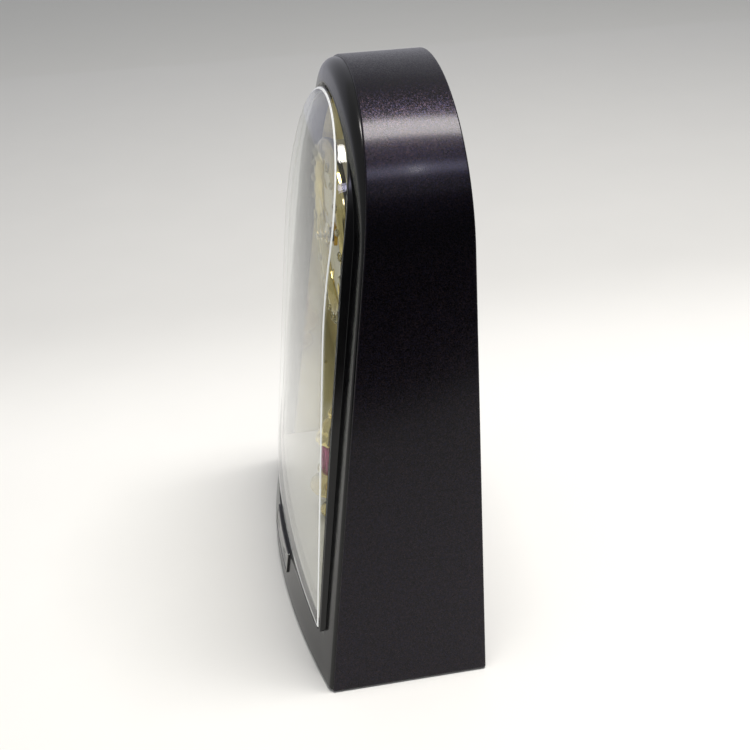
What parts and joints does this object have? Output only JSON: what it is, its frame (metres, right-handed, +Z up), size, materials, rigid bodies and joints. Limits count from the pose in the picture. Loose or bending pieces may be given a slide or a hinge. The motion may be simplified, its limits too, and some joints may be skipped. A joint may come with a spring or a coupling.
{
  "type": "mantel clock",
  "caption": "Arch-topped mantel clock with a leaning bowed front, a domed clear cover, a quartz dial and a rotating ornament in the chamber below it.",
  "frame": {"origin": "on the resting plane, under the middle of the clock", "axes": "+Z up, the dial faces -Y, +X is left-right, to the right as seen from the front"},
  "size_m": [0.2292, 0.0976, 0.3],
  "materials": {
    "case_lacquer": "dark metallic lacquer with violet flake, polished",
    "frame_gloss": "gloss black moulding",
    "clear_acrylic": "clear moulded acrylic",
    "gold_mirror": "pale gold vacuum-plated mirror",
    "cream_panel": "cream satin",
    "floor_white": "white satin",
    "badge_black": "gloss black with bright edge",
    "foot_rubber": "matt",
    "screw_steel": "zinc plated",
    "rear_black": "fine spark-eroded texture",
    "cell_jacket": "printed shrink sleeve, plain",
    "contact_steel": "nickel plated spring steel",
    "switch_plastic": "moulded grey",
    "switch_metal": "tinned",
    "circuit_board": "green solder mask",
    "component_black": "moulded",
    "lead_insulation": "soft PVC",
    "drum_cream": "satin",
    "dial_face": "pearl cream print",
    "ring_gold": "gold plated moulding",
    "marker_gold": "polished",
    "clear_stone": "cut and polished",
    "nut_brass": "turned",
    "hand_gold": "gold anodised, polished",
    "movement_plastic": "moulded",
    "wheel_plastic": "moulded acetal",
    "rotor_magnet": "sintered",
    "stator_steel": "stamped",
    "coil_copper": "enamelled copper winding",
    "knob_plastic": "moulded",
    "gear_brass": "hobbed",
    "motor_can": "zinc plated",
    "spindle_steel": "ground",
    "ornament_gold": "bright gold plating",
    "pink_crystal": "faceted and polished"
  },
  "bodies": {
    "case": {"case_shell": "case_lacquer", "front_frame": "frame_gloss", "front_cover": "clear_acrylic", "gold_liner": "gold_mirror", "back_panel": "cream_panel", "floor_plate": "floor_white", "badge_plate": "badge_black", "foot_pads": "foot_rubber", "frame_screws": "screw_steel", "rear_cover": "rear_black", "rear_screws": "screw_steel", "battery_holder": "rear_black", "batteries": "cell_jacket", "battery_flat_contacts": "contact_steel", "battery_spring_contacts": "contact_steel", "rotation_switch_body": "switch_metal", "control_board": "circuit_board", "board_components": "component_black", "movement_leads": "lead_insulation", "motor_leads": "lead_insulation", "dial_drum": "drum_cream", "dial_plate": "dial_face", "dial_ring": "ring_gold", "hour_markers": "marker_gold", "dial_crystals": "clear_stone", "dial_nut": "nut_brass", "movement_front_plate": "movement_plastic", "movement_rear_case": "movement_plastic", "movement_board": "circuit_board", "step_stator": "stator_steel", "step_coil": "coil_copper", "drive_base": "movement_plastic", "drive_bridge": "movement_plastic", "drive_screws": "screw_steel", "drive_motor": "motor_can", "spindle_bush": "gear_brass"},
    "hour_hand_group": {"hour_hand": "hand_gold", "hour_wheel": "wheel_plastic"},
    "minute_hand_group": {"minute_hand": "hand_gold", "minute_pipe": "wheel_plastic"},
    "second_hand_group": {"second_hand": "hand_gold", "seconds_wheel": "wheel_plastic"},
    "centre_wheel_group": {"centre_wheel": "wheel_plastic"},
    "third_wheel_group": {"third_wheel": "wheel_plastic"},
    "intermediate_wheel_group": {"intermediate_wheel": "wheel_plastic"},
    "minute_wheel_group": {"minute_wheel": "wheel_plastic"},
    "rotor_group": {"step_rotor": "rotor_magnet"},
    "time_set_group": {"time_set_knob": "knob_plastic"},
    "ornament_group": {"spindle": "spindle_steel", "turntable_gear": "wheel_plastic", "ornament_base": "ornament_gold", "ornament_stem": "ornament_gold", "ornament_crystals": "pink_crystal", "ornament_crown": "ornament_gold"},
    "idler_group": {"idler_gear": "wheel_plastic"},
    "motor_rotor_group": {"motor_shaft": "spindle_steel", "motor_pinion": "gear_brass"},
    "battery_door_group": {"battery_door": "rear_black"},
    "switch_group": {"rotation_switch_knob": "switch_plastic"}
  },
  "joints": [
    {"name": "minute_hand_turn", "type": "hinge", "parent": "case", "child": "minute_hand_group", "pos_m": [0, 0, 0.21], "axis": [0, 1, 0], "continuous": true},
    {"name": "hour_hand_turn", "type": "hinge", "parent": "case", "child": "hour_hand_group", "pos_m": [0, 0, 0.21], "axis": [0, 1, 0], "continuous": true},
    {"name": "minute_wheel_turn", "type": "hinge", "parent": "case", "child": "minute_wheel_group", "pos_m": [0.00919, 0, 0.20229], "axis": [0, 1, 0], "continuous": true},
    {"name": "time_set_turn", "type": "hinge", "parent": "case", "child": "time_set_group", "pos_m": [0.01519, 0, 0.19189], "axis": [0, 1, 0], "continuous": true},
    {"name": "second_hand_turn", "type": "hinge", "parent": "case", "child": "second_hand_group", "pos_m": [0, 0, 0.21], "axis": [0, 1, 0], "continuous": true},
    {"name": "third_wheel_turn", "type": "hinge", "parent": "case", "child": "third_wheel_group", "pos_m": [-0.0115, 0, 0.20581], "axis": [0, 1, 0], "continuous": true},
    {"name": "centre_wheel_turn", "type": "hinge", "parent": "case", "child": "centre_wheel_group", "pos_m": [0, 0, 0.21], "axis": [0, 1, 0], "continuous": true},
    {"name": "intermediate_wheel_turn", "type": "hinge", "parent": "case", "child": "intermediate_wheel_group", "pos_m": [0, 0, 0.2226], "axis": [0, 1, 0], "continuous": true},
    {"name": "rotor_turn", "type": "hinge", "parent": "case", "child": "rotor_group", "pos_m": [0.00909, 0, 0.22785], "axis": [0, 1, 0], "continuous": true},
    {"name": "ornament_spin", "type": "hinge", "parent": "case", "child": "ornament_group", "pos_m": [0, -0.01117, 0], "axis": [0, 0, 1], "continuous": true},
    {"name": "idler_spin", "type": "hinge", "parent": "case", "child": "idler_group", "pos_m": [0.021, -0.01117, 0], "axis": [0, 0, 1], "continuous": true},
    {"name": "motor_spin", "type": "hinge", "parent": "case", "child": "motor_rotor_group", "pos_m": [0.036, -0.01117, 0], "axis": [0, 0, 1], "continuous": true},
    {"name": "battery_door_swing", "type": "hinge", "parent": "case", "child": "battery_door_group", "pos_m": [0, 0.04702, 0.0423], "axis": [-1, 0, 0], "range_deg": [0, 100]},
    {"name": "rotation_switch_slide", "type": "slide", "parent": "case", "child": "switch_group", "axis": [1, 0, 0], "range_m": [0, 0.003]}
  ],
  "couplings": [
    {"joint": "hour_hand_turn", "follows": "minute_hand_turn", "ratio": 0.083333},
    {"joint": "minute_wheel_turn", "follows": "minute_hand_turn", "ratio": -0.33333},
    {"joint": "time_set_turn", "follows": "minute_hand_turn", "ratio": 1},
    {"joint": "third_wheel_turn", "follows": "second_hand_turn", "ratio": -0.13333},
    {"joint": "centre_wheel_turn", "follows": "second_hand_turn", "ratio": 0.016667},
    {"joint": "intermediate_wheel_turn", "follows": "second_hand_turn", "ratio": -5},
    {"joint": "rotor_turn", "follows": "second_hand_turn", "ratio": 30},
    {"joint": "idler_spin", "follows": "ornament_spin", "ratio": -6},
    {"joint": "motor_spin", "follows": "ornament_spin", "ratio": 30}
  ]
}
